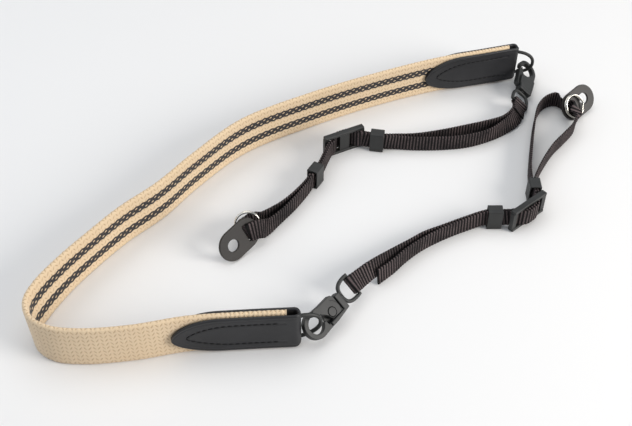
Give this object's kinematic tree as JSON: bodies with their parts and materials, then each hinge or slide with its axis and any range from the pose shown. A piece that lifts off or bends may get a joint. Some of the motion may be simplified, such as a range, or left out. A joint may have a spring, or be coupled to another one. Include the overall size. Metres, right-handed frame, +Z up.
{
  "type": "webbing camera strap",
  "caption": "Camera strap laid out as a loop: wide woven band, leather end tabs, D-rings, snap hooks, thin webbing with keepers and ladder buckles, split rings and leather lug protectors.",
  "frame": {"origin": "middle of the bounding box's underside, on the table that the strap lies on", "axes": "+X along the longest side of the figure the strap makes, +Y away from the end with the front tab, +Z up from the table"},
  "size_m": [0.3044, 0.2246, 0.0252],
  "materials": {
    "beige_webbing": "matte weave with two dark chain stripes on its inner face",
    "black_webbing": "matte, cross-ribbed",
    "black_leather": "smooth grain, stitched",
    "black_plastic": "fine matte moulding",
    "bright_ring": "bright nickel plate"
  },
  "bodies": {
    "strap": {"d_ring_far": "black_plastic", "d_ring_front": "black_plastic", "hook_frame_far": "black_plastic", "hook_frame_front": "black_plastic", "keeper_far_end": "black_plastic", "keeper_far_near": "black_plastic", "keeper_front_end": "black_plastic", "keeper_front_near": "black_plastic", "ladder_buckle_far": "black_plastic", "ladder_buckle_front": "black_plastic", "leather_tab_far": "black_leather", "leather_tab_front": "black_leather", "lug_protector_far": "black_leather", "lug_protector_front": "black_leather", "split_ring_far": "bright_ring", "split_ring_front": "bright_ring", "swivel_eye_far": "black_plastic", "swivel_eye_front": "black_plastic", "thin_strap_far": "black_webbing", "thin_strap_front": "black_webbing", "wide_webbing": "beige_webbing"},
    "gate_front": {"gate_lever_front": "black_plastic"},
    "gate_far": {"gate_lever_far": "black_plastic"}
  },
  "joints": [
    {"name": "gate_front_hinge", "type": "hinge", "parent": "strap", "child": "gate_front", "pos_m": [-0.00885, -0.08752, 0.00864], "axis": [0.5078, -0.4001, 0.7629], "range_deg": [0, 12], "stiffness_Nm_per_rad": 0.005, "springref_deg": -5.73},
    {"name": "gate_far_hinge", "type": "hinge", "parent": "strap", "child": "gate_far", "pos_m": [0.11273, 0.09476, 0.00641], "axis": [-0.6138, 0.2199, -0.7583], "range_deg": [0, 12], "stiffness_Nm_per_rad": 0.005, "springref_deg": -5.73}
  ]
}
